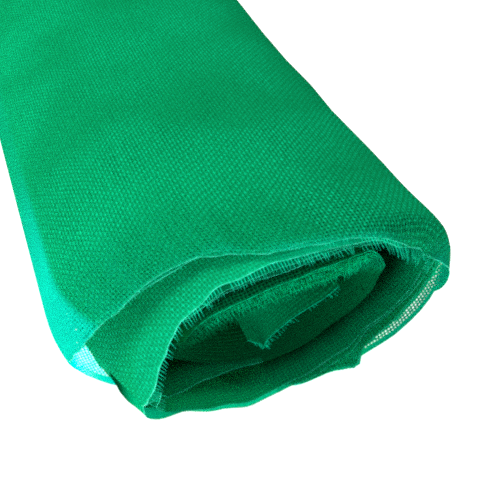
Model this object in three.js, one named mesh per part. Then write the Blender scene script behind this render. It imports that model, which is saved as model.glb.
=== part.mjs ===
// Roll of mosquito netting: one length of green net wound up loosely and lying on its side.
// Millimetres, +Z up. The roll runs along Y, its open end faces -Y and it rests on Z = 0.
import * as THREE from 'three';

// Driving sizes
const ROLL_LENGTH = 600;      // width of the net, which is the length of the roll
const NEAR_END = -ROLL_LENGTH / 2;
const MIDDLE_X = 0.75;        // middle of the whole width, measured in the tables below
const END_REACH = 46;         // how far behind the open end the wraps are drawn in
const STEPS_PER_QUARTER = 9;  // facets in each quarter turn of the winding
const SLOPE_STEP = 0.02;      // share of a quarter turn over which a slope is read
const LAYER_GAP = 0.3;        // clearance between the roll and its loose corner
const FLAP_THICK = 1.2;       // thickness of the loose corner's sheet

// The winding, a row for each quarter turn from the outer cut end inwards.
// x, z: the place where the outer face is furthest to that side, in the body of the roll.
// endX, endZ: the same place at the open end. full: how square the quarter after it is.
// thick: the layers pressed together there. loose: how much of the body's dents it shows.
const QUARTERS = [
  { side: 'bottom', x: 2, z: -3, endX: 2, endZ: -3, full: 2.0, thick: 1.5, loose: 1 },
  { side: 'right', x: 72, z: 38, endX: 69, endZ: 38, full: 1.85, thick: 1.5, loose: 1 },
  { side: 'top', x: 16, z: 75, endX: 20, endZ: 71.5, full: 2.1, thick: 1.5, loose: 1 },
  { side: 'left', x: -72, z: 27, endX: -51, endZ: 20, full: 2.7, thick: 1.5, loose: 1 },
  { side: 'bottom', x: 0, z: -1.2, endX: 0, endZ: -1.2, full: 2.1, thick: 1.6, loose: 1 },
  { side: 'right', x: 67.5, z: 37, endX: 65, endZ: 37, full: 1.85, thick: 3, loose: 1 },
  { side: 'top', x: 17, z: 72, endX: 18, endZ: 69.5, full: 2.1, thick: 3, loose: 1 },
  { side: 'left', x: -64, z: 23, endX: -49, endZ: 16, full: 2.7, thick: 3, loose: 1 },
  { side: 'bottom', x: 2, z: 2.2, endX: 2, endZ: 2.2, full: 2.0, thick: 3, loose: 0 },
  { side: 'right', x: 44, z: 42, endX: 44, endZ: 42, full: 2.0, thick: 9, loose: 0 },
  { side: 'top', x: 18, z: 62, endX: 18, endZ: 62, full: 2.2, thick: 10, loose: 0 },
  { side: 'left', x: -30, z: 30, endX: -30, endZ: 30, full: 2.2, thick: 9, loose: 0 },
  { side: 'bottom', x: 4, z: 7.5, endX: 4, endZ: 7.5, full: 2.0, thick: 11, loose: 0 },
  { side: 'right', x: 24, z: 40, endX: 24, endZ: 40, full: 2.0, thick: 3, loose: 0 },
];

// Where the winding starts and stops, counted in quarter turns along the table.
const OUTER_CUT = 0.4;
const INNER_CUT = 12.85;

// How far each stretch of the selvedge lies back from the open end.
const SELVEDGE = [
  { turn: 0.4, back: 2 },
  { turn: 1.0, back: 0 },
  { turn: 1.9, back: 0 },
  { turn: 2.3, back: 12 },
  { turn: 2.6, back: 13 },
  { turn: 3.0, back: 21 },
  { turn: 3.3, back: 26 },
  { turn: 4.0, back: 4 },
  { turn: 4.4, back: 0 },
  { turn: 5.0, back: 3 },
  { turn: 6.0, back: 0 },
  { turn: 7.0, back: 0 },
  { turn: 8.0, back: 0 },
  { turn: 9.0, back: 6 },
  { turn: 10.0, back: 3 },
  { turn: 11.0, back: 8 },
  { turn: 12.0, back: 18 },
  { turn: 12.85, back: 26 },
];

// Soft dents in the loose wraps. along: distance behind the open end. deep: negative swells out.
const DENTS = [
  { side: 'right', along: 20, deep: -2.6, reach: 17 },
  { side: 'right', along: 88, deep: 2, reach: 24 },
  { side: 'right', along: 146, deep: 3, reach: 24 },
  { side: 'top', along: 190, deep: 1.5, reach: 50 },
  { side: 'right', along: 330, deep: 2.5, reach: 45 },
  { side: 'left', along: 410, deep: 3, reach: 55 },
  { side: 'top', along: 470, deep: 2, reach: 60 },
  { side: 'right', along: 520, deep: 2, reach: 35 },
];

const INWARD = {
  right: new THREE.Vector2(-1, 0),
  left: new THREE.Vector2(1, 0),
  top: new THREE.Vector2(0, -1),
};

// The pleat where the second wrap turns under at the left of the open end.
const PLEAT = { turn: 7.3, width: 0.12, deep: 5, reach: 26 };

// Cross sections along the roll, as a share of its length; closer together at the open end.
const STATIONS = [0, 0.012, 0.028, 0.05, 0.08, 0.12, 0.18, 0.25, 0.34, 0.45, 0.58, 0.72, 0.86, 1];

// The loose inner corner, a row for each rib from its fold to where it meets the coil.
// turn: the rib's place under the coil. acrossX, dropZ: from there to its free edge.
const CORNER_RIBS = [
  { turn: 10.54, acrossX: 4, dropZ: 12 },
  { turn: 10.45, acrossX: 7, dropZ: 20 },
  { turn: 10.32, acrossX: 2, dropZ: 17 },
  { turn: 10.1, acrossX: 0, dropZ: 10 },
  { turn: 9.8, acrossX: 0, dropZ: 3 },
];
const CORNER_BACK = 9;        // how far the corner hangs behind the open end
const CORNER_CURL = 5;        // how far its free edge swings out again
const CORNER_STEPS = 5;       // facets from the coil down to the free edge

const NET_GREEN = new THREE.MeshStandardMaterial({ color: 0x0aa86a, roughness: 0.6, metalness: 0 });

// How far the selvedge lies back at a place along the winding, eased between the rows.
function selvedgeBack(turn) {
  let index = 0;
  while (index < SELVEDGE.length - 2 && turn > SELVEDGE[index + 1].turn) index += 1;
  const low = SELVEDGE[index];
  const high = SELVEDGE[index + 1];
  const share = THREE.MathUtils.smoothstep(turn, low.turn, high.turn);
  return THREE.MathUtils.lerp(low.back, high.back, share);
}

// One quarter's turning place at a distance behind the open end.
function turningPlace(row, behindEnd) {
  const drawnIn = Math.max(1 - behindEnd / END_REACH, 0) ** 2;
  const place = new THREE.Vector2(
    THREE.MathUtils.lerp(row.x, row.endX, drawnIn),
    THREE.MathUtils.lerp(row.z, row.endZ, drawnIn),
  );
  for (const dent of DENTS.filter((entry) => entry.side === row.side)) {
    const depth = dent.deep * Math.exp(-(((behindEnd - dent.along) / dent.reach) ** 2));
    place.addScaledVector(INWARD[row.side], row.loose * depth);
  }
  return place;
}

// The outer face of the winding, before it is pressed flat on the floor.
function woundPlace(turn, behindEnd) {
  const index = Math.min(Math.floor(turn), QUARTERS.length - 2);
  const from = turningPlace(QUARTERS[index], behindEnd);
  const to = turningPlace(QUARTERS[index + 1], behindEnd);
  const angle = (turn - index) * Math.PI / 2;
  const power = 2 / QUARTERS[index].full;
  const leaving = Math.cos(angle) ** power;
  const arriving = Math.sin(angle) ** power;
  const startsUpright = QUARTERS[index].side === 'right' || QUARTERS[index].side === 'left';
  if (startsUpright) {
    return new THREE.Vector2(to.x + (from.x - to.x) * leaving, from.y + (to.y - from.y) * arriving);
  }
  return new THREE.Vector2(from.x + (to.x - from.x) * arriving, to.y + (from.y - to.y) * leaving);
}

// How thick the pressed layers are at a place along the winding.
function thickness(turn) {
  const index = Math.min(Math.floor(turn), QUARTERS.length - 2);
  const share = THREE.MathUtils.smoothstep(turn, index, index + 1);
  return THREE.MathUtils.lerp(QUARTERS[index].thick, QUARTERS[index + 1].thick, share);
}

// The direction out of the winding at a place, in the section's plane.
function outward(turn, behindEnd) {
  const before = woundPlace(Math.max(turn - SLOPE_STEP, 0), behindEnd);
  const after = woundPlace(Math.min(turn + SLOPE_STEP, QUARTERS.length - 1), behindEnd);
  const along = after.sub(before).normalize();
  return new THREE.Vector2(along.y, -along.x);
}

// A point of the winding. inside: 0 on the outer face, 1 on the inner face.
function woundPoint(turn, behindEnd, inside) {
  const place = woundPlace(turn, behindEnd);
  const out = outward(turn, behindEnd);
  const thick = thickness(turn);
  const pleat = PLEAT.deep
    * Math.exp(-(((turn - PLEAT.turn) / PLEAT.width) ** 2))
    * (1 - THREE.MathUtils.smoothstep(behindEnd, 0, PLEAT.reach));
  place.addScaledVector(out, -thick * inside - pleat);
  const floor = thick * inside;
  return new THREE.Vector3(place.x, NEAR_END + behindEnd, Math.max(place.y, floor));
}

// A closed sheet from two faces of a grid: point(column, row, inside) gives each corner.
function closedSheet(columns, rows, point) {
  const positions = [];
  const indices = [];
  const perFace = columns * rows;
  for (const inside of [0, 1]) {
    for (let row = 0; row < rows; row += 1) {
      for (let column = 0; column < columns; column += 1) {
        positions.push(...point(column, row, inside).toArray());
      }
    }
  }
  const corner = (column, row, inside) => inside * perFace + row * columns + column;
  const quad = (a, b, c, d) => indices.push(a, b, c, a, c, d);
  for (let row = 0; row < rows - 1; row += 1) {
    for (let column = 0; column < columns - 1; column += 1) {
      const ring = [[0, 0], [0, 1], [1, 1], [1, 0]];
      const outer = ring.map(([right, up]) => corner(column + right, row + up, 0));
      const inner = ring.map(([right, up]) => corner(column + right, row + up, 1));
      quad(...outer);
      quad(...inner.reverse());
    }
  }
  const rim = [];
  for (let column = 0; column < columns - 1; column += 1) rim.push([column, 0]);
  for (let row = 0; row < rows - 1; row += 1) rim.push([columns - 1, row]);
  for (let column = columns - 1; column > 0; column -= 1) rim.push([column, rows - 1]);
  for (let row = rows - 1; row > 0; row -= 1) rim.push([0, row]);
  rim.forEach(([column, row], index) => {
    const [nextColumn, nextRow] = rim[(index + 1) % rim.length];
    quad(
      corner(column, row, 0),
      corner(nextColumn, nextRow, 0),
      corner(nextColumn, nextRow, 1),
      corner(column, row, 1),
    );
  });
  const geometry = new THREE.BufferGeometry();
  geometry.setAttribute('position', new THREE.Float32BufferAttribute(positions, 3));
  geometry.setIndex(indices);
  geometry.computeVertexNormals();
  return geometry;
}

// The wound net, one thick sheet from its outer cut end to its inner one.
function makeRoll() {
  const columns = Math.round((INNER_CUT - OUTER_CUT) * STEPS_PER_QUARTER) + 1;
  return closedSheet(columns, STATIONS.length, (column, row, inside) => {
    const turn = THREE.MathUtils.lerp(OUTER_CUT, INNER_CUT, column / (columns - 1));
    const behindEnd = THREE.MathUtils.lerp(selvedgeBack(turn), ROLL_LENGTH, STATIONS[row]);
    return woundPoint(turn, behindEnd, inside);
  });
}

// The loose corner, a thin sheet that hangs from under the coil.
function makeInnerCorner() {
  return closedSheet(CORNER_RIBS.length, CORNER_STEPS + 1, (column, row, inside) => {
    const rib = CORNER_RIBS[column];
    const down = row / CORNER_STEPS;
    const root = woundPoint(rib.turn, CORNER_BACK, 1);
    const curl = CORNER_CURL * down * down;
    return new THREE.Vector3(
      root.x + rib.acrossX * down,
      root.y - curl + FLAP_THICK * inside,
      root.z - LAYER_GAP - rib.dropZ * down,
    );
  });
}

function namedMesh(name, geometry) {
  const mesh = new THREE.Mesh(geometry, NET_GREEN);
  mesh.name = name;
  return mesh;
}

const group = new THREE.Group();
group.position.x = -MIDDLE_X;
group.add(namedMesh('roll', makeRoll()));
group.add(namedMesh('inner_corner', makeInnerCorner()));

export default group;
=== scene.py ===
# %% [markdown]
# # A roll of mosquito netting
# The object is one long strip of green plastic net, wound up loosely and laid on its side.
# Its weave is open, so several wraps are seen through each other and make wavy patterns.
# The solid model is loaded first: it gives the roll's place and size, and the pieces made
# here lie where its solids lie. All tables of places are in millimetres, in the roll's own
# frame, and places round the winding are counted in quarter turns.

# %% Load the solid model
import math

import bpy
import numpy as np
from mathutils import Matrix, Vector


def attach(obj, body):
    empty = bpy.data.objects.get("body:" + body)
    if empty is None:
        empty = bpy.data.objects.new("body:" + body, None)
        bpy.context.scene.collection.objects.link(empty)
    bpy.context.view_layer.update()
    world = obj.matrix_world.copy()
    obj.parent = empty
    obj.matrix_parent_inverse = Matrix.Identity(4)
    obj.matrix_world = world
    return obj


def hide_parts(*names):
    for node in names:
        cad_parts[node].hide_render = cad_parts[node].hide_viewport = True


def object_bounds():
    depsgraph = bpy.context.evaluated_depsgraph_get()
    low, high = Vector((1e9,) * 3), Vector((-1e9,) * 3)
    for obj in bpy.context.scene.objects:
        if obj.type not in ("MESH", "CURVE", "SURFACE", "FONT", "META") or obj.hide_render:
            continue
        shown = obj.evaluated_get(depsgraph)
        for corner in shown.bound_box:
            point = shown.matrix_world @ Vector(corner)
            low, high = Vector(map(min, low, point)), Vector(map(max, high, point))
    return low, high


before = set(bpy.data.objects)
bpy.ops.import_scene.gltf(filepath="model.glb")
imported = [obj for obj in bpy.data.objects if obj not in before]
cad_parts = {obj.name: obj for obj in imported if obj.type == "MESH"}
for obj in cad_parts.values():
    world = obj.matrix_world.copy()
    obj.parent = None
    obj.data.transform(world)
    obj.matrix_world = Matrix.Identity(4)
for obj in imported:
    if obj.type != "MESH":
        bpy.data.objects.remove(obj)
cad_low, cad_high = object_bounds()
MM = 0.001
cad_size = [round(v / MM, 1) for v in cad_high - cad_low]
print("solids:", sorted(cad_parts), "box in mm:", cad_size)

# %% [markdown]
# ## The camera
# The roll is seen from above its open end, a little from the left, and it runs out of the
# picture at the top. A camera could be aimed with a constraint, but two angles and a place
# are enough here, and they stay readable.

# %% Camera
CAMERA_PLACE = (-70.75, -447.0, 230.0)
CAMERA_TILT = 90 - 42.9
CAMERA_TURN = -21.4
CAMERA_LENS = 54.7
CAMERA_NEAR = 10.0

bpy.ops.object.select_all(action="DESELECT")
bpy.ops.object.camera_add(
    location=[v * MM for v in CAMERA_PLACE],
    rotation=(math.radians(CAMERA_TILT), 0, math.radians(CAMERA_TURN)),
)
camera = bpy.context.object
camera.data.lens = CAMERA_LENS
camera.data.clip_start = CAMERA_NEAR * MM
bpy.context.scene.camera = camera
print("camera lens:", camera.data.lens)

# %% [markdown]
# ## The winding
# A wound net is a spiral that is squashed by its own weight. It could be drawn as a smooth
# mathematical spiral, but then every wrap would be equally round. Here each wrap has four
# turning places, where it is furthest down, right, up and left, and a quarter of a squared
# ellipse joins each to the next. Three bands of wraps are enough: two loose outer wraps, a
# second band of three, and a tight flat coil in the middle.

# %% The turning places of each band
SIDES = ("bottom", "right", "top", "left")
QUARTERS = len(SIDES)
INWARD = {"bottom": (0, 1), "right": (-1, 0), "top": (0, -1), "left": (1, 0)}
# where the roll's middle lies in the tables
MIDDLE_X = 0.75

# wraps, looseness, how far back the open end is drawn in, then for each side: x, z in the body
# of the roll, x, z at the open end, how square the quarter after it is, and how much further in
# the band's last wrap lies
BANDS = [
    (2, 1.0, 46.0, [
        (2.0, -3.0, 2.0, -3.0, 2.1, 0.9),
        (72.0, 38.0, 60.9, 40.2, 2.35, 0.8),
        (16.0, 75.0, 20.0, 71.5, 2.1, 0.8),
        (-72.0, 27.0, -53.0, 19.0, 3.1, 0.8),
    ]),
    (3, 1.0, 80.0, [
        (0.0, -1.2, 0.0, -1.2, 2.1, 2.2),
        (70.4, 37.0, 60.0, 39.0, 2.3, 2.4),
        (17.0, 72.0, 18.0, 69.5, 2.1, 6.0),
        (-66.0, 23.0, -50.0, 14.0, 2.7, 3.0),
    ]),
    (16, 0.0, 46.0, [
        (2.0, 3.0, 2.0, 3.0, 2.0, 28.0),
        (45.0, 42.0, 45.0, 42.0, 2.7, 7.0),
        (18.0, 59.5, 18.0, 59.5, 2.2, 10.0),
        (-34.0, 28.0, -34.0, 28.0, 2.2, 13.0),
    ]),
]
# the inner end turns up once more, away from the coil: x, z, and how square and loose it is
INNER_PLACES = [(4.0, 33.0), (25.0, 41.0)]
INNER_FULL, INNER_LOOSE = 2.0, 0.0
# where the outer end is cut, and the share of the last quarter before the inner cut
OUTER_CUT, INNER_SHARE = 0.33, 0.85

rows = []
for wraps, loose, reach, sides in BANDS:
    for wrap in range(wraps):
        for side, (x, z, end_x, end_z, full, inset) in zip(SIDES, sides):
            step_x, step_z = (inset * wrap / max(wraps - 1, 1) * v for v in INWARD[side])
            rows.append((x + step_x, z + step_z, end_x + step_x, end_z + step_z, full, loose, reach))
for x, z in INNER_PLACES:
    rows.append((x, z, x, z, INNER_FULL, INNER_LOOSE, reach))
BODY_X, BODY_Z, END_X, END_Z, FULL, LOOSE, END_REACH = np.array(rows).T
SIDE = np.arange(len(rows)) % QUARTERS
INNER_CUT = len(rows) - 2 + INNER_SHARE

# quarter turns at which the second band, its lining, the coil and the coil's last wrap begin
outer_wraps, second_wraps, coil_wraps = (band[0] for band in BANDS)
SECOND_FIRST = QUARTERS * outer_wraps
LINING_FIRST = SECOND_FIRST + QUARTERS
COIL_FIRST = SECOND_FIRST + QUARTERS * second_wraps
COIL_LAST = COIL_FIRST + QUARTERS * (coil_wraps - 1)
print("turning places:", len(rows), "coil from:", COIL_FIRST, "to:", INNER_CUT)

# %% [markdown]
# The loose wraps are drawn in at the open end, and soft dents run over them further back.
# A dent could be sculpted, but as a row in a table it moves all the loose wraps together,
# so none of them cuts through the next.

# %% Where the winding runs
ROLL_LENGTH = 600.0
# how high the outer wrap lies at least, how much higher each next one, and the step in quarter
# turns over which a slope is measured
FLOOR_GAP, FLOOR_STEP = 0.2, 0.4
SLOPE_STEP = 0.02
# side, distance behind the open end, depth, reach; a negative depth swells out
DENTS = [
    ("right", 2.0, -10.2, 20.8),
    ("right", 88.0, 2.0, 24.0),
    ("right", 146.0, 3.0, 24.0),
    ("top", 190.0, 1.5, 50.0),
    ("right", 330.0, 2.5, 45.0),
    ("left", 410.0, 3.0, 55.0),
    ("top", 470.0, 2.0, 60.0),
    ("right", 520.0, 2.0, 35.0),
]


def smooth(value, low, high):
    share = np.clip((value - low) / (high - low), 0, 1)
    return share * share * (3 - 2 * share)


def bell(value, middle, reach):
    return np.exp(-(((value - middle) / reach) ** 2))


def turning_place(index, behind):
    drawn_in = np.clip(1 - behind / END_REACH[index], 0, None) ** 2
    x = BODY_X[index] + (END_X[index] - BODY_X[index]) * drawn_in
    z = BODY_Z[index] + (END_Z[index] - BODY_Z[index]) * drawn_in
    for side, along, deep, reach in DENTS:
        depth = deep * bell(behind, along, reach) * LOOSE[index]
        depth = depth * (SIDE[index] == SIDES.index(side))
        x = x + INWARD[side][0] * depth
        z = z + INWARD[side][1] * depth
    return x, z


def wound_place(turn, behind):
    index = np.clip(np.floor(turn).astype(int), 0, len(rows) - 2)
    from_x, from_z = turning_place(index, behind)
    to_x, to_z = turning_place(index + 1, behind)
    angle = np.clip(turn - index, 0, 1) * math.pi / 2
    leaving = np.clip(np.cos(angle), 0, 1) ** (2 / FULL[index])
    arriving = np.sin(angle) ** (2 / FULL[index])
    upright = SIDE[index] % 2 == 1
    x = np.where(upright, to_x + (from_x - to_x) * leaving, from_x + (to_x - from_x) * arriving)
    z = np.where(upright, from_z + (to_z - from_z) * arriving, to_z + (from_z - to_z) * leaving)
    return x, z


def outward(turn, behind):
    before_x, before_z = wound_place(np.maximum(turn - SLOPE_STEP, 0), behind)
    after_x, after_z = wound_place(np.minimum(turn + SLOPE_STEP, len(rows) - 1), behind)
    run = np.hypot(after_x - before_x, after_z - before_z)
    return (after_z - before_z) / run, -(after_x - before_x) / run


print("dents:", len(DENTS))

# %% [markdown]
# Near the open end the first wrap of the second band is pinched into a small pleat at the lower
# left. The edges droop into soft lips: that of the second band at the upper left, and those of
# all loose wraps at the upper right. The outer wraps have one short crease, and the second band
# has a round belly at the lower left. Cloth could be left to fall into such folds, but it would
# not fall into these. They are troughs and ridges placed one by one, and each fades out along
# the roll.

# %% Pleat, lips, crease and belly
PLEAT_TURN, PLEAT_STEP, PLEAT_WIDTH = 3.0, 0.05, 0.8
PLEAT_DEEP, PLEAT_LIFT, PLEAT_REACH = 9.0, 8.0, 26.0
# first quarter turn that has the lip, its place within a wrap, half width, depth and reach
LIPS = [(SECOND_FIRST, 2.55, 0.4, 2.4, 16.0), (0, 1.45, 0.3, 10.0, 7.0)]
CREASE_TURN, CREASE_WIDTH, CREASE_DEEP, CREASE_REACH = 2.2, 0.035, 1.3, 34.0
BELLY_TURN, BELLY_WIDTH, BELLY_OUT, BELLY_BACK, BELLY_REACH = 3.35, 0.2, 4.0, 13.0, 8.0


def folds(turn, behind):
    local = turn % QUARTERS
    inwards = 0
    for first, place, width, deep, reach in LIPS:
        lip = bell(local, place, width) * np.clip(1 - behind / reach, 0, 1) ** 2
        inwards = inwards + deep * lip * (turn >= first) * (turn < COIL_FIRST)
    crease = bell(local, CREASE_TURN, CREASE_WIDTH) * (1 - smooth(behind, 0, CREASE_REACH))
    inwards = inwards + CREASE_DEEP * crease * (turn < SECOND_FIRST)
    belly = bell(local, BELLY_TURN, BELLY_WIDTH) * bell(behind, BELLY_BACK, BELLY_REACH)
    inwards = inwards - BELLY_OUT * belly * (turn >= SECOND_FIRST) * (turn < COIL_FIRST)
    pinch = smooth(local, PLEAT_TURN - PLEAT_STEP, PLEAT_TURN + PLEAT_STEP)
    pinch = pinch * (1 - smooth(local, PLEAT_TURN + PLEAT_STEP, PLEAT_TURN + PLEAT_WIDTH))
    lift = bell(local, PLEAT_TURN + PLEAT_STEP, PLEAT_STEP)
    pleated = (turn >= SECOND_FIRST) & (turn < LINING_FIRST)
    fade = pleated * (1 - smooth(behind, 0, PLEAT_REACH))
    return inwards, PLEAT_DEEP * pinch * fade, PLEAT_LIFT * lift * fade


def net_point(turn, behind):
    x, z = wound_place(turn, behind)
    out_x, out_z = outward(turn, behind)
    inwards, pleat_x, pleat_z = folds(turn, behind)
    x = x - out_x * inwards + pleat_x
    z = z - out_z * inwards + pleat_z
    floor = FLOOR_GAP + FLOOR_STEP * turn / QUARTERS
    y = behind - ROLL_LENGTH / 2
    return np.stack([x - MIDDLE_X, y + 0 * x, np.maximum(z, floor)], -1)


print("pleat depth:", PLEAT_DEEP, "lips:", len(LIPS))

# %% [markdown]
# ## The edge of the net
# The strip was not wound quite straight, so its edge lies further back in some wraps than in
# others, and at the outer cut end it juts out in a small tongue. A curve drawn by hand could
# give this line, but a short table is easier to correct. It says how far back the edge lies,
# and a few slow waves keep the edge from looking cut with a ruler.

# %% How far back the edge lies
# wraps of a group, then quarter turn within a wrap and the distance back there; where a group
# has several wraps, the distance in its first wrap and in its last
EDGES = [
    (1, [
        (0.33, 0.9), (0.5, 0.9), (0.61, 1.7), (0.67, 2.6), (0.73, 3.4), (0.79, 4.5), (0.86, 1.4),
        (0.95, -0.5), (1.05, -2.5), (1.15, -3.5), (1.25, -2.3), (1.35, -0.3), (1.5, 0.4), (1.62, 0),
        (1.72, -1.2), (1.85, -0.8), (2.01, 0.2), (2.085, 1.9), (2.156, 4.3), (2.208, 8.1),
        (2.267, 10.4), (2.323, 13.5), (2.47, 14.3), (2.614, 13.6), (2.686, 15.3), (2.763, 16),
        (2.859, 17.6), (2.953, 20.8), (3.108, 29), (3.263, 28.6), (3.34, 26.6), (3.42, 24.7),
        (3.48, 23), (3.6, 17), (3.8, 9), (4.0, 2),
    ]),
    (1, [
        (0.09, -0.6), (0.21, 0.3), (0.28, -1.2), (0.326, -3.7), (0.35, 3.3), (0.42, 5), (0.53, 6.3),
        (0.65, 7.6), (0.72, 8.3), (0.82, 8.5), (0.95, 9), (1.1, 9), (1.3, 3), (1.5, 2), (1.9, 1),
        (2.1, 4), (2.3, 14), (2.62, 15), (2.85, 20), (3.0, 26), (3.3, 39), (3.5, 45), (3.8, 26),
        (4.0, 4),
    ]),
    (1, [
        (0.1, -1.2), (0.222, -0.2), (0.29, -1.6), (0.328, -3.2), (0.352, 2.6), (0.37, 3.6),
        (0.45, 5.6), (0.55, 6.8), (0.65, 7.9), (0.75, 8.6), (0.85, 9), (1.1, 9), (1.3, 4), (1.5, 1),
        (1.66, 0.2), (1.82, 1), (1.9, 0.6), (2.05, 0.5), (2.11, 0.9), (2.17, 1.7), (2.26, 2.1),
        (2.35, 4), (2.43, 2.9), (2.51, 2.7), (2.6, 1), (2.67, -1.2), (2.81, -3.6), (2.9, -2.6),
        (3.0, 1), (3.2, 4.5), (3.4, 3.8), (3.6, 2.4), (3.8, -0.5), (3.93, -2.6),
    ]),
    (2, [
        (0.1, -0.5, 1), (0.3, 3, 5), (0.45, 9, 10), (0.85, 10, 11), (1.2, 9, 10), (1.5, 4, 6),
        (1.8, 2, 3.2), (1.9, 1.9, 3.3), (2.0, 1.4, 2.6), (2.1, 1.4, 2.2), (2.17, 1.8, 2.4),
        (2.25, 2.6, 3.5), (2.35, 3.8, 4), (2.47, 3.6, 4.4), (2.54, 4.5, 6), (2.7, 6.5, 9),
        (2.86, 4, 9), (3.0, 0.5, 5), (3.3, 1, 6), (3.6, 2.5, 10), (3.8, 0.5, 12), (3.93, -1.5, 13),
    ]),
    (16, [
        (0.4, 13, 15), (0.9, 8, 11), (1.15, 4.6, 9), (1.3, 6, 8), (1.5, 6, 7), (1.74, 3.2, 5.5),
        (1.85, 2, 5), (2.01, 1.2, 4.6), (2.1, 0.6, 4.4), (2.18, 1, 4), (2.32, 0.8, 3.6),
        (2.41, 1.6, 4.4), (2.54, 2.4, 5.4), (2.64, 2.8, 6.8), (2.75, 3, 8), (3.0, 13, 17),
        (3.5, 17, 20), (4.0, 14, 18),
    ]),
]
INNER_BACK = 18.0
# height, length and start of each slow wave
EDGE_WAVES = [(0.3, 9.0, 0.0), (0.3, 15.3, 1.2), (0.1, 3.1, 0.0)]

edge_rows, first = [], 0
for wraps, places in EDGES:
    for wrap in range(wraps):
        share = wrap / max(wraps - 1, 1)
        for turn, *backs in places:
            edge_rows.append((first + turn, backs[0] + (backs[-1] - backs[0]) * share))
        first += QUARTERS
edge_rows.append((INNER_CUT, INNER_BACK))
EDGE_TURN, EDGE_BACK = np.array(edge_rows).T


def waves(length, table):
    return sum(high * np.sin(length / long + start) for high, long, start in table)


def edge_back(turn, length):
    index = np.clip(np.searchsorted(EDGE_TURN, turn) - 1, 0, len(EDGE_TURN) - 2)
    share = smooth(turn, EDGE_TURN[index], EDGE_TURN[index + 1])
    back = EDGE_BACK[index] + (EDGE_BACK[index + 1] - EDGE_BACK[index]) * share
    return back + waves(length, EDGE_WAVES)


print("edge rows:", len(edge_rows))

# %% [markdown]
# ## The net as one strip
# The real net is a single strip, so its places are measured along one line, from the outer cut
# end to the inner one. A subdivided plane could be bent with modifiers, but a spiral of many
# wraps is easier to lay down point by point: columns at every second thread along the strip,
# and rows from one edge to the other that lie closer together at the open end. The strip is
# kept in four pieces, because only the loose outer wraps are clear between their threads. The
# wraps inside are pressed together and have a closed finish, with painted shade that makes
# them darker the deeper they lie.

# %% Columns along the strip
# distance between threads, threads in a column of the mesh, and steps to measure the strip in
PITCH = 1.35
THREADS_PER_COLUMN = 2
FINE_STEPS = 12000


def lengths_along(points):
    steps = np.linalg.norm(np.diff(points, axis=0), axis=1)
    return np.concatenate([[0], np.cumsum(steps)])


fine_turn = np.linspace(OUTER_CUT, INNER_CUT, FINE_STEPS)
fine_length = lengths_along(net_point(fine_turn, np.full(FINE_STEPS, ROLL_LENGTH / 2)))
column_step = PITCH * THREADS_PER_COLUMN
all_columns = np.arange(int(fine_length[-1] // column_step) + 1) * column_step
all_turns = np.interp(all_columns, fine_length, fine_turn)
print("columns:", len(all_columns), "strip length in mm:", round(all_columns[-1]))

# %% A mesh from arrays
def grid_faces(across, along):
    first = np.arange(across - 1)[:, None] * along + np.arange(along - 1)[None, :]
    corners = np.stack([first, first + along, first + along + 1, first + 1], -1)
    return corners.reshape(-1, 4).tolist()


def piece_from(name, points, faces):
    mesh = bpy.data.meshes.new(name)
    mesh.from_pydata(np.asarray(points).reshape(-1, 3) * MM, [], faces)
    mesh.update()
    mesh.shade_smooth()
    piece = bpy.data.objects.new(name, mesh)
    bpy.context.scene.collection.objects.link(piece)
    print(name, "faces:", len(mesh.polygons))
    return piece


# %% [markdown]
# ## A map that follows the threads
# The weave has to run with the strip. A pattern in space would cut straight through the wraps,
# so each sheet gets its own map: one unit of it is a patch of sixteen threads each way. Threads
# of a hand-wound net wander a little. The map carries that too, and where two wraps wander
# differently, their threads beat together into waves.

# %% Thread map
WEAVE_MAP = "OFBake"
# threads in a patch, how many patches the map is shifted by, so that the edge has a round place
# in it, and the distance from an edge over which threads begin to wander
PATCH = 16
PATCH_SHIFT = 10
FREE_EDGE = 70.0
# amount, length and start of the waves to the side, then amount, length across and length
# along of those that run lengthways
SIDE_WANDER = [(2.6, 49.0, 0.4), (1.7, 27.0, 2.1)]
LONG_WANDER = [(1.3, 41.0, 140.0), (0.8, 90.0, -95.0)]


def add_weave_map(piece, along, across):
    layer = piece.data.uv_layers.new(name=WEAVE_MAP)
    loops = np.zeros(len(piece.data.loops), np.int32)
    piece.data.loops.foreach_get("vertex_index", loops)
    places = np.stack([np.ravel(along), np.ravel(across)], -1) / PITCH / PATCH
    layer.data.foreach_set("uv", places[loops].astype(np.float32).ravel())


def wandering(run, across):
    free = smooth(across, 0, FREE_EDGE)
    free = free * (1 - smooth(across, ROLL_LENGTH - FREE_EDGE, ROLL_LENGTH))
    lengthways = sum(far * np.sin(across / wide + run / long) for far, wide, long in LONG_WANDER)
    return run + free * lengthways, across + free * waves(run, SIDE_WANDER)


print("one unit of the map in mm:", round(PATCH * PITCH, 1))

# %% Lengths of the strip
# distances of the rows from the edge at the open end
LOOSE_ROWS = [
    0, 1.5, 3, 5, 7.5, 10.5, 14, 18, 23, 29, 36, 45, 56, 70, 87, 108, 134, 165,
    202, 245, 295, 350, 410, 470, 520, 555, 580, 593, 600,
]
COIL_ROWS = [0, 3, 8, 16, 30, 60, 120, 220, 340, 450, 530, 580, 600]


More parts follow.
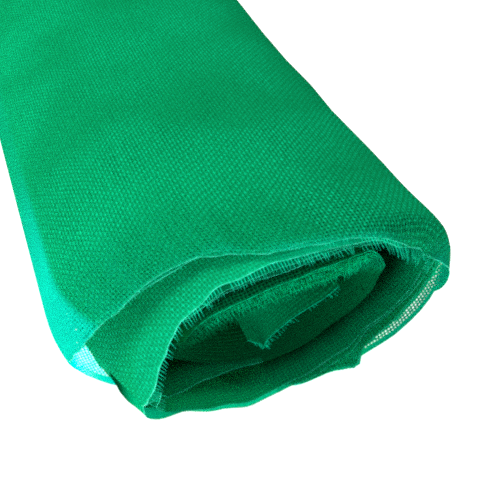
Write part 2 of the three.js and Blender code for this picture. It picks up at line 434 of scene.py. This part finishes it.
def wound_sheet(name, first_turn, last_turn, row_places):
    chosen = np.flatnonzero((all_turns >= first_turn) & (all_turns <= last_turn))
    if last_turn < INNER_CUT:
        chosen = np.append(chosen, min(chosen[-1] + 1, len(all_turns) - 1))
    strip, turn = all_columns[chosen], all_turns[chosen]
    share = np.array(row_places) / ROLL_LENGTH
    back = edge_back(turn, strip)[:, None]
    behind = back + share * (ROLL_LENGTH - back)
    points = net_point(np.repeat(turn[:, None], len(share), 1), behind)
    piece = piece_from(name, points, grid_faces(len(strip), len(share)))
    run = np.repeat(strip[:, None], len(share), 1)
    across = np.repeat(share[None, :] * ROLL_LENGTH, len(strip), 0)
    along, athwart = wandering(run, across)
    add_weave_map(piece, along - strip[0], athwart - PATCH_SHIFT * PATCH * PITCH)
    flat = (ROLL_LENGTH * MM, (strip[-1] - strip[0]) * MM)
    return piece, flat, (points, turn)


outer_net, outer_flat, outer_wrap = wound_sheet("outer_net", OUTER_CUT, SECOND_FIRST, LOOSE_ROWS)
second_net, second_flat, second_wrap = wound_sheet("second_net", SECOND_FIRST, LINING_FIRST, LOOSE_ROWS)
lining_net, lining_flat, lining_wrap = wound_sheet("lining_net", LINING_FIRST, COIL_FIRST, LOOSE_ROWS)
coil_net, coil_flat, coil_wrap = wound_sheet("coil_net", COIL_FIRST, INNER_CUT, COIL_ROWS)
loose_wraps = outer_wrap, second_wrap, lining_wrap
print("flat sizes in m:", outer_flat, second_flat, lining_flat, coil_flat)

# %% [markdown]
# ## The loose inner corner
# The inner end of the strip has a corner that hangs down in front of the hollow. It lies on
# the small solid of the same place. A simulated cloth would hang straight, and this corner is
# curled, so ribs run down from the coil and the sheet passes through them on a smooth curve.

# %% Inner corner
# place under the coil in quarter turns, then sideways and down to the rib's free end
CORNER_RIBS = np.array([
    (2.54, 4.0, 12.0),
    (2.45, 7.0, 20.0),
    (2.32, 2.0, 19.0),
    (2.1, 0.0, 13.0),
    (1.8, 0.0, 4.0),
])
# how far behind the open end it hangs, how far it curls forward, its gap under the coil, and
# how much finer its weave looks
CORNER_BACK, CORNER_CURL, CORNER_GAP = 14.0, 10.0, 0.3
CORNER_COLUMNS, CORNER_ROWS = 29, 15
CORNER_FINER = 1.6

rib_place = np.linspace(0, len(CORNER_RIBS) - 1, CORNER_COLUMNS)
rib_number = np.arange(len(CORNER_RIBS))
rib_turn, rib_x, rib_drop = (np.interp(rib_place, rib_number, rib) for rib in CORNER_RIBS.T)
down = np.linspace(0, 1, CORNER_ROWS)[None, :]
root = net_point(COIL_LAST + rib_turn, np.full(CORNER_COLUMNS, CORNER_BACK))
corner_points = np.stack([
    root[:, 0:1] + rib_x[:, None] * down,
    root[:, 1:2] - CORNER_CURL * down**2,
    root[:, 2:3] - CORNER_GAP - rib_drop[:, None] * down,
], -1)
corner_faces = grid_faces(CORNER_COLUMNS, CORNER_ROWS)
inner_corner = piece_from("inner_corner_net", corner_points, corner_faces)
corner_along = np.repeat(lengths_along(corner_points[:, 0])[:, None], CORNER_ROWS, 1)
corner_down = rib_drop[:, None] * (down - 1)
add_weave_map(inner_corner, corner_along * CORNER_FINER, corner_down * CORNER_FINER)

# %% [markdown]
# ## Edge yarns and frayed ends
# Along each edge of the net runs a thicker yarn, and beyond it the cut cross threads stick
# out a few millimetres. There are thousands of ends, so they are not modelled one by one:
# one function lays a thin tapered tube along each of many paths at once.

# %% Many tubes at once
def tubes(paths, radii, sides, level):
    count, steps, _ = paths.shape
    run = np.gradient(paths, axis=1)
    run = run / np.linalg.norm(run, axis=2, keepdims=True)
    across = np.cross(run, level)
    across = across / np.linalg.norm(across, axis=2, keepdims=True)
    rise = np.cross(across, run)
    angle = np.arange(sides) * 2 * math.pi / sides
    ring = across[:, :, None] * np.cos(angle)[:, None] + rise[:, :, None] * np.sin(angle)[:, None]
    points = paths[:, :, None] + ring * np.asarray(radii)[:, None, None]
    corner = np.arange(count * steps * sides).reshape(count, steps, sides)
    here, ahead = corner[:, :-1], corner[:, 1:]
    walls = np.stack([here, np.roll(here, -1, 2), np.roll(ahead, -1, 2), ahead], -1)
    faces = walls.reshape(-1, 4).tolist()
    faces += corner[:, 0, ::-1].tolist() + corner[:, -1].tolist()
    return points.reshape(-1, 3), faces


def joined(parts):
    points, faces, first = [], [], 0
    for part_points, part_faces in parts:
        points.append(part_points)
        faces += [[first + v for v in face] for face in part_faces]
        first += len(part_points)
    return np.concatenate(points), faces


# %% Edge yarns
YARN_RADIUS, THIN_YARN_RADIUS = 0.2, 0.11
YARN_SIDES = 4
# quarter turns within a wrap between which the inner wraps' edges are seen, and how far
# before and after the pleat its yarn is thick
SEEN_FROM, SEEN_TO = 1.4, 2.95
PLEAT_BEFORE, PLEAT_AFTER = 0.1, 0.5
BOLD_WRAPS = [first // QUARTERS for first in (SECOND_FIRST, COIL_FIRST, COIL_LAST)]
ALONG_ROLL = np.array([0.0, 1.0, 0.0])
UPRIGHT = np.array([0.0, 0.0, 1.0])


def is_seen(turn):
    return (turn % QUARTERS > SEEN_FROM) & (turn % QUARTERS < SEEN_TO)


def yarns(points, turn):
    from_pleat = turn - SECOND_FIRST - PLEAT_TURN
    bold = is_seen(turn) & np.isin(turn // QUARTERS, BOLD_WRAPS)
    bold = bold | (from_pleat > -PLEAT_BEFORE) & (from_pleat < PLEAT_AFTER)
    radius = np.where(bold, YARN_RADIUS, THIN_YARN_RADIUS)
    return [tubes(points[None, :, row], radius, YARN_SIDES, ALONG_ROLL) for row in (0, -1)]


edge_parts = [part for wrap in loose_wraps for part in yarns(*wrap)]
edge_yarn = piece_from("edge_yarn", *joined(edge_parts))
coil_yarn = piece_from("coil_yarn", *joined(yarns(*coil_wrap)))

# %% Frayed ends
TAIL_RADII, TAIL_SIDES = [0.13, 0.12, 0.07], 3
TAIL_DROOP = 0.5
FLOOR_CLEAR = 0.15
# quarter turn along the strip where each length of tail begins, the length and the share kept
TAIL_LENGTHS = np.array([
    (0, 0.6, 0.3), (1.3, 5.6, 0.95), (1.78, 4.4, 0.9), (1.86, 3.0, 0.7), (1.93, 1.6, 0.5),
    (2.0, 0.8, 0.3), (3, 0.7, 0.3), (7.6, 1.5, 0.5), (9.3, 4.2, 0.95), (10.5, 2.8, 0.8),
    (10.9, 0.8, 0.2), (11.03, 2.8, 0.95), (11.35, 1.5, 0.5), (12.6, 0.8, 0.2), (20, 2.2, 0.04),
])
TAIL_SPREAD = 0.85, 1.1
# the share kept where the coil's edges are seen
BAND_SHARE = 0.6
# where in each column of the mesh its two ends start
TAIL_STARTS = 0.25, 0.75
# the ends lie flat where the roll is highest and curl in further round, in degrees
FLAT_TURN, CURL_FROM, CURL_TO = 2.1, 0.2, 0.7
CURL_LEAST, CURL_MORE, CURL_SPREAD = 4.0, 45.0, 4
# how far the ends swing sideways, in degrees, the share that strays, and how much further
SWING_SPREAD, STRAY_SHARE, STRAY_MORE = 4, 0.06, 5
RANDOM_START = 11
rng = np.random.default_rng(RANDOM_START)


def tails(edge, turn, facing):
    starts = [edge[:-1] * (1 - share) + edge[1:] * share for share in TAIL_STARTS]
    starts = np.stack(starts, 1).reshape(-1, 3)
    count = len(starts)
    run = np.repeat(edge[1:] - edge[:-1], len(TAIL_STARTS), 0) * (1 - ALONG_ROLL)
    run = run / np.linalg.norm(run, axis=1, keepdims=True)
    away = ALONG_ROLL[None] * facing
    inward = np.cross(run, ALONG_ROLL)
    place = np.repeat(turn[:-1], len(TAIL_STARTS))
    row = np.searchsorted(TAIL_LENGTHS[:, 0], place, side="right") - 1
    _, length, share = TAIL_LENGTHS[row].T
    share = np.where((place > COIL_FIRST) & is_seen(place), BAND_SHARE, share)
    swing = rng.normal(0, SWING_SPREAD, count)
    swing = np.radians(swing * np.where(rng.random(count) < STRAY_SHARE, STRAY_MORE, 1))
    from_flat = np.abs(place % QUARTERS - FLAT_TURN)
    curl = CURL_LEAST + CURL_MORE * smooth(from_flat, CURL_FROM, CURL_TO)
    curl = np.radians(rng.normal(curl, CURL_SPREAD))
    heading = away * (np.cos(swing) * np.cos(curl))[:, None] + run * np.sin(swing)[:, None]
    heading = heading + inward * np.sin(curl)[:, None]
    size = (length * rng.uniform(*TAIL_SPREAD, count))[:, None]
    droop = UPRIGHT * (TAIL_DROOP * rng.uniform(0, 1, count))[:, None]
    paths = np.stack([starts, starts + heading * size / 2, starts + heading * size - droop], 1)
    paths[:, :, 2] = np.maximum(paths[:, :, 2], FLOOR_CLEAR)
    return paths[rng.random(count) < share]


def both_ends(points, turn):
    near_end, far_end = tails(points[:, 0], turn, -1), tails(points[:, -1], turn, 1)
    return [tubes(paths, TAIL_RADII, TAIL_SIDES, UPRIGHT) for paths in (near_end, far_end)]


print("lengths of frayed ends:", len(TAIL_LENGTHS))

# %% Yarn and frayed ends of the corner
# the corner's ends lean right and down from its free edge
CORNER_LEAN, CORNER_STRAY = np.array([0.6, -0.45, -0.65]), 0.2
CORNER_TAIL, CORNER_SPREAD = 2.2, (0.6, 1.15)
CORNER_ENDS, CORNER_FIRST_END = 46, 2

corner_edge = corner_points[:, -1]


def corner_tails():
    place = rng.uniform(CORNER_FIRST_END, CORNER_COLUMNS - 1, CORNER_ENDS)
    column = np.arange(CORNER_COLUMNS)
    starts = np.stack([np.interp(place, column, axis) for axis in corner_edge.T], -1)
    heading = CORNER_LEAN + rng.normal(0, CORNER_STRAY, (CORNER_ENDS, 3))
    size = CORNER_TAIL * rng.uniform(*CORNER_SPREAD, (CORNER_ENDS, 1))
    return np.stack([starts, starts + heading * size / 2, starts + heading * size], 1)


corner_radii = np.full(CORNER_COLUMNS, YARN_RADIUS)
corner_yarn = tubes(corner_edge[None], corner_radii, YARN_SIDES, ALONG_ROLL)
corner_ends = tubes(corner_tails(), TAIL_RADII, TAIL_SIDES, UPRIGHT)
fringe_parts = [part for wrap in loose_wraps for part in both_ends(*wrap)]
fringe = piece_from("fringe", *joined(fringe_parts))
coil_fringe = piece_from("coil_fringe", *joined(both_ends(*coil_wrap)))
corner_trim = piece_from("corner_trim", *joined([corner_yarn, corner_ends]))

# %% [markdown]
# ## Shader sums written as sums
# The weave is drawn by arithmetic on the thread map. Nodes could be placed and joined one by
# one, but a small class that stands for a socket lets the sums be read as plain sums.

# %% A socket that can be added and multiplied
class Strand:
    def __init__(self, tree, socket=None):
        self.tree = tree
        self.socket = socket

    def node(self, kind, settings=None, sockets=None, out=0):
        made = self.tree.nodes.new(kind)
        for name, value in (settings or {}).items():
            setattr(made, name, value)
        for name, value in (sockets or {}).items():
            if isinstance(value, Strand):
                value.feed(made.inputs[name])
            else:
                made.inputs[name].default_value = value
        return Strand(self.tree, made.outputs[out])

    def feed(self, socket):
        self.tree.links.new(self.socket, socket)

    def math(self, operation, first, second=0.0):
        return self.node("ShaderNodeMath", {"operation": operation}, {0: first, 1: second})

    def __add__(self, other):
        return self.math("ADD", self, other)

    __radd__ = __add__

    def __sub__(self, other):
        return self.math("SUBTRACT", self, other)

    def __rsub__(self, other):
        return self.math("SUBTRACT", other, self)

    def __mul__(self, other):
        return self.math("MULTIPLY", self, other)

    __rmul__ = __mul__

    def part(self, number):
        return self.node("ShaderNodeSeparateXYZ", None, {"Vector": self}, out=number)

    def larger(self, other):
        return self.math("MAXIMUM", self, other)

    def range(self, low, high, to_low=0.0, to_high=1.0):
        limits = {"From Min": low, "From Max": high, "To Min": to_low, "To Max": to_high}
        settings = {"interpolation_type": "SMOOTHSTEP"}
        return self.node("ShaderNodeMapRange", settings, {"Value": self, **limits})

    # a mix of colours has them at its sockets 6 and 7, and its result at 2
    def blend(self, first, second):
        colours = {0: self, 6: first, 7: second}
        return self.node("ShaderNodeMix", {"data_type": "RGBA"}, colours, out=2)


# %% Starting and ending a finish
def new_finish(name, roughness, shine):
    finish = bpy.data.materials.new(name)
    finish.use_nodes = True
    surface = finish.node_tree.nodes["Principled BSDF"]
    surface.inputs["Roughness"].default_value = roughness
    surface.inputs["Specular IOR Level"].default_value = shine
    return finish, Strand(finish.node_tree), surface


def place_on_roll(start):
    return start.node("ShaderNodeTexCoord", None, None, out=3)


def by_height(start, heights, low_tint, high_tint):
    return place_on_roll(start).part(2).range(*heights).blend(low_tint, high_tint)


def colour_and_bump(surface, tint, height, strength, distance):
    relief = {"Strength": strength, "Distance": distance, "Height": height}
    tint.feed(surface.inputs["Base Color"])
    height.node("ShaderNodeBump", None, relief).feed(surface.inputs["Normal"])


def lit_through(start, surface, share, through_tint):
    glow = start.node("ShaderNodeBsdfTranslucent", None, {"Color": through_tint})
    front = Strand(start.tree, surface.outputs[0])
    return start.node("ShaderNodeMixShader", None, {0: share, 1: front, 2: glow})


def show(start, whole):
    whole.feed(start.tree.nodes["Material Output"].inputs["Surface"])


# %% [markdown]
# ## The threads of the net
# Each thread is a thin round plastic yarn that passes over and under the threads it crosses, one
# step later on each next thread, which draws fine slanting lines over the net. The threads are
# far too many to model, so they are drawn from the thread map. A thread's height feeds the
# bump, and it dips where the thread goes under. The same height also gives painted light and
# shade: a painted highlight where a thread passes over, and painted shade low on the threads.
# Fine noise makes the threads a little uneven, and slow noise makes some patches of the net
# livelier than others.

# %% Threads
# widths of the threads and how soft their sides are, as shares of the distance between them
CROSS_WIDTH, ROUND_WIDTH = 0.33, 0.38
EDGE_SOFT = 0.035
HALF = 0.5
FLAT_NOISE, NOISE_DETAIL = {"noise_dimensions": "2D"}, 1.0
# scale of the fine noise, the part of its range in use, the widths it gives and how far it
# moves a thread
UNEVEN_SCALE, UNEVEN_RANGE = 11.0, (0.25, 0.75)
UNEVEN_WIDTHS, UNEVEN_MOVE = (0.85, 1.15), 0.3
# the height of a thread between its crossings, and how far it rises and dips at them
THREAD_LEVEL, THREAD_SWING = 0.65, 0.35
# how much of a thread's painted highlight the cross threads carry by themselves
CROSS_HIGHLIGHT = 0.33


class Weave:
    def __init__(self, start):
        self.place = start.node("ShaderNodeUVMap", {"uv_map": WEAVE_MAP})
        self.from_edge = self.place.part(1) + PATCH_SHIFT
        grain = {"Vector": self.place, "Scale": UNEVEN_SCALE, "Detail": NOISE_DETAIL}
        uneven = start.node("ShaderNodeTexNoise", FLAT_NOISE, grain, out=1)
        wide = uneven.part(2).range(*UNEVEN_RANGE, *UNEVEN_WIDTHS)
        along = self.place.part(0) * PATCH + (uneven.part(0) - HALF) * UNEVEN_MOVE
        athwart = self.place.part(1) * PATCH + (uneven.part(1) - HALF) * UNEVEN_MOVE
        self.from_cross = start.math("ABSOLUTE", start.math("FRACT", along) - HALF)
        self.from_round = start.math("ABSOLUTE", start.math("FRACT", athwart) - HALF)
        self.cross_half = wide * (CROSS_WIDTH / 2)
        self.round_half = wide * (ROUND_WIDTH / 2)

        cross_rise = (self.cross_half - self.from_cross).range(0.0, CROSS_WIDTH / 2)
        round_rise = (self.round_half - self.from_round).range(0.0, ROUND_WIDTH / 2)
        over = start.math("COSINE", (along + athwart) * math.pi)
        cross_height = cross_rise * (THREAD_LEVEL + over * THREAD_SWING)
        self.height = cross_height.larger(round_rise * (THREAD_LEVEL - over * THREAD_SWING))
        # painted highlight: lighter where a thread passes over another, as if it caught the light there
        round_highlight = self.height * (HALF - over * HALF) * (1 - CROSS_HIGHLIGHT)
        self.light = cross_rise * CROSS_HIGHLIGHT + round_highlight

    def cover(self, cross_half, round_half):
        inside = (cross_half - self.from_cross).larger(round_half - self.from_round)
        return inside.range(-EDGE_SOFT, EDGE_SOFT)


print("widths of the threads:", CROSS_WIDTH, ROUND_WIDTH)

# %% Tint of the threads
# the length of the first wrap in units of the thread map, and how bright threads beyond it are,
# as painted shade for the deeper wraps
FIRST_WRAP = np.interp(QUARTERS, fine_turn, fine_length) / PITCH / PATCH
DEEPER_SHADE = 0.45
# scale of the slow noise, the part of its range in use, and how bright the dull and the
# lively patches are
PATCHY_SCALE, PATCHY_RANGE, PATCHY = 0.45, (0.3, 0.7), (0.55, 1.25)
# the share of the painted highlight at which a thread gets its full high tint
HIGHLIGHT_FULL = 0.8


def shaded_thread_tint(start, weave, low_tint, high_tint):
    # painted shade: threads beyond the first wrap are painted darker, where less light reaches them
    deeper_shade = weave.place.part(0).range(FIRST_WRAP - HALF, FIRST_WRAP + HALF, 1.0, DEEPER_SHADE)
    slow = {"Vector": weave.place, "Scale": PATCHY_SCALE, "Detail": NOISE_DETAIL}
    patchy = start.node("ShaderNodeTexNoise", FLAT_NOISE, slow).range(*PATCHY_RANGE, *PATCHY)
    # painted light and shade: the low tint is painted shade, the high tint a painted highlight
    return (weave.light.range(0.0, HIGHLIGHT_FULL) * deeper_shade * patchy).blend(low_tint, high_tint)


print("first wrap in units of the map:", round(FIRST_WRAP, 2))

# %% [markdown]
# ## The open net
# The two outer wraps are clear between their threads. The holes could be cut, but there are
# hundreds of thousands. Round threads hide more of what is behind them when the net is seen at
# a slant, so they are drawn wider there. The loose left side is painted paler, a painted glow for
# the light that comes through it from below, and the right side is painted duller, as painted
# shade. A border along the edge has no holes, and on the left its tint is paler and bluer, also a
# painted glow. Under the right lip the rim of the net is less sheer and painted bright, as painted
# light.

# %% Open net
NET_ROUGHNESS, NET_SHINE = 0.5, 0.0
# strength of the bump and its height in metres
NET_BUMP = 0.6, 0.0002
# how a slant is weighed, the least uprightness that counts, and how fast threads get wider
SLANT_BLEND, SLANT_LEAST, SLANT_POWER = 0.5, 0.12, 1.0
# painted shade low in a thread and painted highlight high on it, how much light comes through,
# and its tint
OPEN_TINTS = (0.003, 0.25, 0.08, 1), (0.004, 1.0, 0.48, 1)
OPEN_SHEER, OPEN_THROUGH = 0.5, (0.0, 0.95, 0.85, 1)
# places across the roll and heights, in metres, and distances from the edge, in units of the
# thread map, over which the painted glow of the pale left side fades, its largest and least share,
# and its tint
LEFT_SIDE, LEFT_TOP, LEFT_FADE = (-0.058, -0.04), (0.043, 0.047), (0.0, 5.0)
LEFT_MOST, LEFT_LEAST = 0.6, 0.06
LEFT_GLOW_TINT = (0.004, 0.95, 0.8, 1)
# places across the roll over which its right side begins, how much less light comes through
# it, how much closer it is under the lip, how much painted shade dulls it above the lip, and the
# tint of that painted shade
RIGHT_SIDE = 0.0, 0.03
RIGHT_DIMMER, RIGHT_CLOSER, RIGHT_SHADE_SHARE = 0.7, 0.35, 0.33
RIGHT_SHADE_TINT = (0.0, 0.1, 0.03, 1)
# the border's width on the left and on the right, in units of the thread map, the heights it
# reaches there, in metres, how much less light comes through it, and its tints, the paler and
# bluer left one a painted glow
BORDER_WIDTHS, BORDER_SOFT = (0.26, 0.14), 0.04
BORDER_TOPS, BORDER_FADE = (0.01, 0.043), 0.005
BORDER_SOLID = 0.3
BORDER_TINTS = (0.004, 0.8, 0.55, 1), (0.003, 0.95, 0.48, 1)
# distances from the edge over which the right rim fades, how much painted light brightens it,
# and how solid it is
RIM_FADE, RIM_PAINTED_LIGHT, RIM_SOLID = (0.4, 0.9), 0.45, 0.7


def open_finish(name):
    finish, start, surface = new_finish(name, NET_ROUGHNESS, NET_SHINE)
    weave = Weave(start)
    spot = place_on_roll(start)
    side, height = spot.part(0), spot.part(2)
    right = side.range(*RIGHT_SIDE)
    below = (side.range(*RIGHT_SIDE, *BORDER_TOPS) - height).range(0.0, BORDER_FADE)
    border = side.range(*RIGHT_SIDE, *BORDER_WIDTHS) - weave.from_edge
    border = border.range(0.0, BORDER_SOFT) * below
    rim = right * below * weave.from_edge.range(*RIM_FADE, 1.0, 0.0)

    # painted glow: the loose left side is painted paler, for the light that comes through it from below
    painted_glow = side.range(*LEFT_SIDE, 1.0, 0.0) * height.range(*LEFT_TOP, 1.0, 0.0)
    painted_glow = painted_glow * weave.from_edge.range(*LEFT_FADE, LEFT_MOST, LEFT_LEAST)
    tint = painted_glow.blend(shaded_thread_tint(start, weave, *OPEN_TINTS), LEFT_GLOW_TINT)
    # painted shade: the right side is painted duller, except at its rim
    tint = ((right - rim) * RIGHT_SHADE_SHARE).blend(tint, RIGHT_SHADE_TINT)
    # the border's tint, the paler and bluer left one a painted glow, and painted light on the right rim
    tint = border.larger(rim * RIM_PAINTED_LIGHT).blend(tint, right.blend(*BORDER_TINTS))
    colour_and_bump(surface, tint, weave.height, *NET_BUMP)

    sheer = (1 - border * BORDER_SOLID) * (1 - right * RIGHT_DIMMER) * (1 - rim * RIM_SOLID)
    cloth = lit_through(start, surface, sheer * OPEN_SHEER, OPEN_THROUGH)
    upright = 1 - start.node("ShaderNodeLayerWeight", None, {"Blend": SLANT_BLEND}, out=1)
    slanted = start.math("POWER", upright.larger(SLANT_LEAST), -SLANT_POWER)
    slanted = slanted * (1 + right * below * RIGHT_CLOSER)
    cover = weave.cover(weave.cross_half * slanted, weave.round_half * slanted).larger(border)
    clear = start.node("ShaderNodeBsdfTransparent")
    show(start, start.node("ShaderNodeMixShader", None, {0: cover, 1: clear, 2: cloth}))
    print(name, "nodes:", len(start.tree.nodes))
    return finish


outer_net.data.materials.append(open_finish("open_net"))

# %% [markdown]
# ## The closed nets
# The wraps inside lie on each other, so little is seen through their holes. They could be clear
# too, but then dozens of clear sheets would lie behind each other. Their holes are painted with
# a dark tint instead, as painted shade for what lies behind them. Painted shade makes them
# darker away from the edge, where less light reaches them, and the lining, coil and corner tints
# are darker copies of the outer net's, also as painted shade. Painted shade makes the coil darker
# low down, and the lining at its top, under the outer wraps.

# %% Closed nets
# painted shade low in a thread, painted highlight high on it, and painted shade between the
# threads; the lining, coil and corner tints are darker copies, as painted shade
SECOND_TINTS = (0.003, 0.4, 0.15, 1), (0.004, 1.0, 0.54, 1), (0.003, 0.26, 0.09, 1)
LINING_TINTS = (0.0, 0.5, 0.2, 1), (0.0, 0.75, 0.34, 1), (0.0, 0.26, 0.1, 1)
COIL_TINTS = (0.0, 0.3, 0.11, 1), (0.0, 0.5, 0.2, 1), (0.0, 0.06, 0.02, 1)
CORNER_TINTS = (0.0, 0.22, 0.08, 1), (0.0, 0.42, 0.17, 1), (0.0, 0.12, 0.04, 1)
# how much light comes through, and its tint
SECOND_THROUGH = 0.35, (0.0, 0.75, 0.42, 1)
LINING_THROUGH = 0.2, (0.0, 0.75, 0.42, 1)
# distances from the edge, in units of the thread map, over which painted shade makes a wrap
# darker, and the painted shade tint further in
SECOND_SHADE = (1.7, 3.2), (0.0, 0.2, 0.075, 1)
LINING_SHADE = (0.12, 0.65), (0.0, 0.055, 0.018, 1)
COIL_SHADE = (0.15, 0.4), (0.0, 0.06, 0.02, 1)
# heights, in metres, over which the lining gets its painted dark top, shade under the outer
# wraps, and the coil its full tint, and the painted shade tints above and below them
LINING_HEIGHTS, LINING_TOP_SHADE = (0.042, 0.052), (0.0, 0.2, 0.075, 1)
COIL_HEIGHTS, COIL_LOW_SHADE = (0.04, 0.054), (0.0, 0.22, 0.07, 1)


def closed_finish(name, tints, through=None, shade=None, low=None, top=None):
    finish, start, surface = new_finish(name, NET_ROUGHNESS, NET_SHINE)
    weave = Weave(start)
    low_tint, high_tint, hole_shade_tint = tints
    # painted shade in the holes, for what lies behind them, and painted light and shade on the threads
    threads = weave.cover(weave.cross_half, weave.round_half)
    tint = threads.blend(hole_shade_tint, shaded_thread_tint(start, weave, low_tint, high_tint))
    if shade:
        # painted shade away from the edge
        distances, shade_tint = shade
        tint = weave.from_edge.range(*distances).blend(tint, shade_tint)
    if low:
        # painted shade low in the coil
        tint = by_height(start, COIL_HEIGHTS, low, tint)
    if top:
        # painted shade at the top of the lining, under the outer wraps
        tint = by_height(start, LINING_HEIGHTS, tint, top)
    colour_and_bump(surface, tint, weave.height, *NET_BUMP)
    if through:
        show(start, lit_through(start, surface, *through))
    print(name, "nodes:", len(start.tree.nodes))
    return finish


second_finish = closed_finish("second_net", SECOND_TINTS, SECOND_THROUGH, SECOND_SHADE)
lining_finish = closed_finish("lining_net", LINING_TINTS, LINING_THROUGH, LINING_SHADE, top=LINING_TOP_SHADE)
coil_finish = closed_finish("coil_net", COIL_TINTS, shade=COIL_SHADE, low=COIL_LOW_SHADE)
corner_finish = closed_finish("corner_net", CORNER_TINTS)
second_net.data.materials.append(second_finish)
lining_net.data.materials.append(lining_finish)
coil_net.data.materials.append(coil_finish)
inner_corner.data.materials.append(corner_finish)

# %% [markdown]
# ## The yarn's finish
# The edge yarn and the frayed ends are the same plastic without holes. One plain tint would
# look like wire, so they vary a little from place to place, and a fine bump stands for their
# twist. They are painted paler than the net, as painted light for the light they catch, and at
# the corner and inside the coil they are painted darker, as painted shade, most of all low in
# the coil.

# %% Yarn finish
YARN_ROUGHNESS, YARN_SHINE, DEEP_SHINE = 0.4, 0.1, 0.0
YARN_BUMP = 0.4, 0.0001
# scale and detail of the noise that makes patches, and of the noise that makes the twist
YARN_PATCHES = {"Scale": 420.0, "Detail": 2.0}
YARN_TWIST = {"Scale": 2600.0, "Detail": 1.0}
# tints of the edge yarn and frayed ends, paler as painted light, then darker copies for the corner and
# the coil as painted shade
YARN_TINTS = (0.0, 0.7, 0.38, 1), (0.06, 1.0, 0.68, 1)
FRINGE_TINTS = (0.0, 0.5, 0.25, 1), (0.0, 0.85, 0.5, 1)
CORNER_YARN_TINTS = (0.0, 0.3, 0.14, 1), (0.0, 0.6, 0.32, 1)
COIL_YARN_TINTS = (0.0, 0.5, 0.2, 1), (0.0, 0.85, 0.4, 1)
COIL_YARN_LOW_SHADE = (0.0, 0.15, 0.05, 1)


def yarn_finish(name, shine, tints, low=None):
    finish, start, surface = new_finish(name, YARN_ROUGHNESS, shine)
    spot = place_on_roll(start)
    patchy = start.node("ShaderNodeTexNoise", None, {"Vector": spot, **YARN_PATCHES})
    twist = start.node("ShaderNodeTexNoise", None, {"Vector": spot, **YARN_TWIST})
    tint = patchy.range(*PATCHY_RANGE).blend(*tints)
    # painted shade low in the coil
    if low:
        tint = by_height(start, COIL_HEIGHTS, low, tint)
    colour_and_bump(surface, tint, twist, *YARN_BUMP)
    print(name, "nodes:", len(start.tree.nodes))
    return finish


pale_yarn = yarn_finish("pale_yarn", YARN_SHINE, YARN_TINTS)
fringe_yarn = yarn_finish("fringe_yarn", YARN_SHINE, FRINGE_TINTS)
corner_yarn_finish = yarn_finish("corner_yarn", DEEP_SHINE, CORNER_YARN_TINTS)
shaded_yarn = yarn_finish("shaded_yarn", DEEP_SHINE, COIL_YARN_TINTS, COIL_YARN_LOW_SHADE)
edge_yarn.data.materials.append(pale_yarn)
fringe.data.materials.append(fringe_yarn)
corner_trim.data.materials.append(corner_yarn_finish)
coil_yarn.data.materials.append(shaded_yarn)
coil_fringe.data.materials.append(shaded_yarn)

# %% [markdown]
# ## Floor and light
# The roll lies on a plain white floor in soft light. The floor glows a little, as a light
# table does, so the roll casts almost no shadow and its thin sides let white through. A lamp
# under the floor could do the same, but a glowing floor is simpler and even all over.

# %% Floor
FLOOR_SIZE = 30.0
FLOOR_TINT, FLOOR_ROUGHNESS, FLOOR_SHINE = (0.9, 0.9, 0.9, 1), 0.9, 0.0
FLOOR_GLOW = 1.2
WHITE = (1, 1, 1, 1)

bpy.ops.object.select_all(action="DESELECT")
bpy.ops.mesh.primitive_plane_add(size=FLOOR_SIZE, location=(0, 0, 0))
floor = bpy.context.object
floor.name = "floor"
floor_finish, _, surface = new_finish("white_floor", FLOOR_ROUGHNESS, FLOOR_SHINE)
surface.inputs["Base Color"].default_value = FLOOR_TINT
surface.inputs["Emission Color"].default_value = WHITE
surface.inputs["Emission Strength"].default_value = FLOOR_GLOW
floor_finish.cycles.emission_sampling = "NONE"
floor.data.materials.append(floor_finish)
print("floor glow:", FLOOR_GLOW)

# %% Light
SKY_LOW, SKY_HIGH = 0.1, 0.7
# how high above the floor the glow along the horizon fades, from 0, level, to 1, overhead
HORIZON, HORIZON_GLOW = (0.06, 0.14), 0.9
KEY_PLACE = (-0.8, 0.5, 1.4)
KEY_SIZE, KEY_POWER = 0.9, 38.0
PIXEL_SOFTNESS = 2.2

world = bpy.data.worlds.new("studio")
bpy.context.scene.world = world
world.use_nodes = True
background = world.node_tree.nodes["Background"]
background.inputs["Color"].default_value = WHITE
climb = Strand(world.node_tree).node("ShaderNodeTexCoord").part(2)
bright = climb.range(0.0, 1.0, SKY_LOW, SKY_HIGH) + climb.range(*HORIZON, HORIZON_GLOW, 0.0)
bright.feed(background.inputs["Strength"])

bpy.ops.object.light_add(type="AREA", location=KEY_PLACE)
key = bpy.context.object
key.data.shape = "DISK"
key.data.size = KEY_SIZE
key.data.energy = KEY_POWER
key.rotation_euler = (-Vector(KEY_PLACE)).to_track_quat("-Z", "Y").to_euler()
bpy.context.scene.view_settings.view_transform = "Standard"
bpy.context.scene.cycles.use_denoising = False
bpy.context.scene.cycles.filter_width = PIXEL_SOFTNESS
print("key light:", key.data.energy)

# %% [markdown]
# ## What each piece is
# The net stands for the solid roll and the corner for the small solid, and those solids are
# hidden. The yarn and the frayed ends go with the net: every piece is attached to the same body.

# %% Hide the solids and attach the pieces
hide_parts("roll")
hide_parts("roll")
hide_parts("roll")
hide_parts("roll")
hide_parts("inner_corner")
nets = outer_net, second_net, lining_net, coil_net, inner_corner
trims = edge_yarn, fringe, coil_yarn, coil_fringe, corner_trim
for piece in nets + trims:
    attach(piece, "root")
